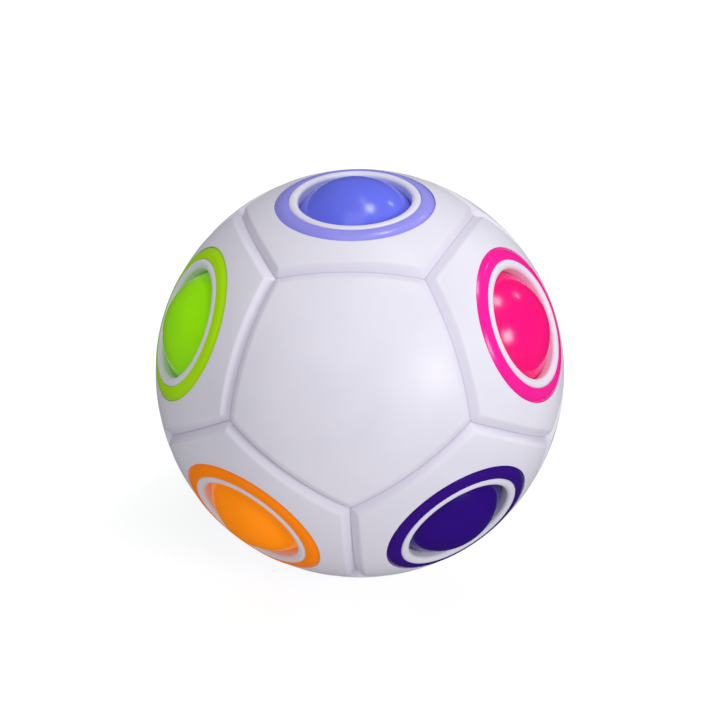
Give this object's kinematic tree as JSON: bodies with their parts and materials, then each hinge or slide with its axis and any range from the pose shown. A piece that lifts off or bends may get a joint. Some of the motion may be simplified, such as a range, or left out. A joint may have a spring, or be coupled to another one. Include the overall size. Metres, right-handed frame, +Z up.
{
  "type": "rainbow ball puzzle",
  "caption": "Round white puzzle ball of five-sided panels, with ringed holes that each hold a loose ball of the ring's colour, pressed out by a rubber core; one hole is empty.",
  "frame": {"origin": "middle of the flat rim of the empty bottom hole, which the puzzle rests on", "axes": "+Z up through the top hole, -Y towards the front blank panel's side, +X towards the right"},
  "size_m": [0.07, 0.07, 0.0697],
  "materials": {
    "shell_white": "glossy white with a faint lavender tint",
    "periwinkle_ring": "glossy moulded plastic",
    "pink_ring": "glossy moulded plastic",
    "yellow_ring": "glossy moulded plastic",
    "red_ring": "glossy moulded plastic",
    "green_ring": "glossy moulded plastic",
    "violet_ring": "glossy moulded plastic",
    "light_blue_ring": "glossy moulded plastic",
    "teal_ring": "glossy moulded plastic",
    "orange_ring": "glossy moulded plastic",
    "white_ring": "glossy moulded plastic",
    "periwinkle_ball": "smooth satin-gloss plastic",
    "pink_ball": "smooth satin-gloss plastic",
    "yellow_ball": "smooth satin-gloss plastic",
    "red_ball": "smooth satin-gloss plastic",
    "green_ball": "smooth satin-gloss plastic",
    "violet_ball": "smooth satin-gloss plastic",
    "light_blue_ball": "smooth satin-gloss plastic",
    "teal_ball": "smooth satin-gloss plastic",
    "orange_ball": "smooth satin-gloss plastic",
    "core_rubber": "soft matt rubber"
  },
  "bodies": {
    "shell": {"periwinkle_panel": "shell_white", "front_blank_panel": "shell_white", "pink_panel": "shell_white", "yellow_panel": "shell_white", "red_panel": "shell_white", "green_panel": "shell_white", "violet_panel": "shell_white", "light_blue_panel": "shell_white", "rear_blank_panel": "shell_white", "teal_panel": "shell_white", "orange_panel": "shell_white", "white_panel": "shell_white", "periwinkle_ring": "periwinkle_ring", "pink_ring": "pink_ring", "yellow_ring": "yellow_ring", "red_ring": "red_ring", "green_ring": "green_ring", "violet_ring": "violet_ring", "light_blue_ring": "light_blue_ring", "teal_ring": "teal_ring", "orange_ring": "orange_ring", "white_ring": "white_ring", "rubber_core": "core_rubber"},
    "periwinkle_ball": {"periwinkle_ball": "periwinkle_ball"},
    "pink_ball": {"pink_ball": "pink_ball"},
    "yellow_ball": {"yellow_ball": "yellow_ball"},
    "red_ball": {"red_ball": "red_ball"},
    "green_ball": {"green_ball": "green_ball"},
    "violet_ball": {"violet_ball": "violet_ball"},
    "light_blue_ball": {"light_blue_ball": "light_blue_ball"},
    "teal_ball": {"teal_ball": "teal_ball"},
    "orange_ball": {"orange_ball": "orange_ball"}
  },
  "joints": [
    {"name": "periwinkle_push", "type": "slide", "parent": "shell", "child": "periwinkle_ball", "axis": [0, 0, -1], "range_m": [0, 0.0035], "stiffness_N_per_m": 800, "springref_m": -0.001, "deforming": ["rubber_core"]},
    {"name": "pink_push", "type": "slide", "parent": "shell", "child": "pink_ball", "axis": [-0.8507, 0.2764, -0.4472], "range_m": [0, 0.0035], "stiffness_N_per_m": 800, "springref_m": -0.001, "deforming": ["rubber_core"]},
    {"name": "yellow_push", "type": "slide", "parent": "shell", "child": "yellow_ball", "axis": [-0.5257, -0.7236, -0.4472], "range_m": [0, 0.0035], "stiffness_N_per_m": 800, "springref_m": -0.001, "deforming": ["rubber_core"]},
    {"name": "red_push", "type": "slide", "parent": "shell", "child": "red_ball", "axis": [0.5257, -0.7236, -0.4472], "range_m": [0, 0.0035], "stiffness_N_per_m": 800, "springref_m": -0.001, "deforming": ["rubber_core"]},
    {"name": "green_push", "type": "slide", "parent": "shell", "child": "green_ball", "axis": [0.8507, 0.2764, -0.4472], "range_m": [0, 0.0035], "stiffness_N_per_m": 800, "springref_m": -0.001, "deforming": ["rubber_core"]},
    {"name": "violet_push", "type": "slide", "parent": "shell", "child": "violet_ball", "axis": [-0.5257, 0.7236, 0.4472], "range_m": [0, 0.0035], "stiffness_N_per_m": 800, "springref_m": -0.001, "deforming": ["rubber_core"]},
    {"name": "light_blue_push", "type": "slide", "parent": "shell", "child": "light_blue_ball", "axis": [-0.8507, -0.2764, 0.4472], "range_m": [0, 0.0035], "stiffness_N_per_m": 800, "springref_m": -0.001, "deforming": ["rubber_core"]},
    {"name": "teal_push", "type": "slide", "parent": "shell", "child": "teal_ball", "axis": [0.8507, -0.2764, 0.4472], "range_m": [0, 0.0035], "stiffness_N_per_m": 800, "springref_m": -0.001, "deforming": ["rubber_core"]},
    {"name": "orange_push", "type": "slide", "parent": "shell", "child": "orange_ball", "axis": [0.5257, 0.7236, 0.4472], "range_m": [0, 0.0035], "stiffness_N_per_m": 800, "springref_m": -0.001, "deforming": ["rubber_core"]}
  ]
}
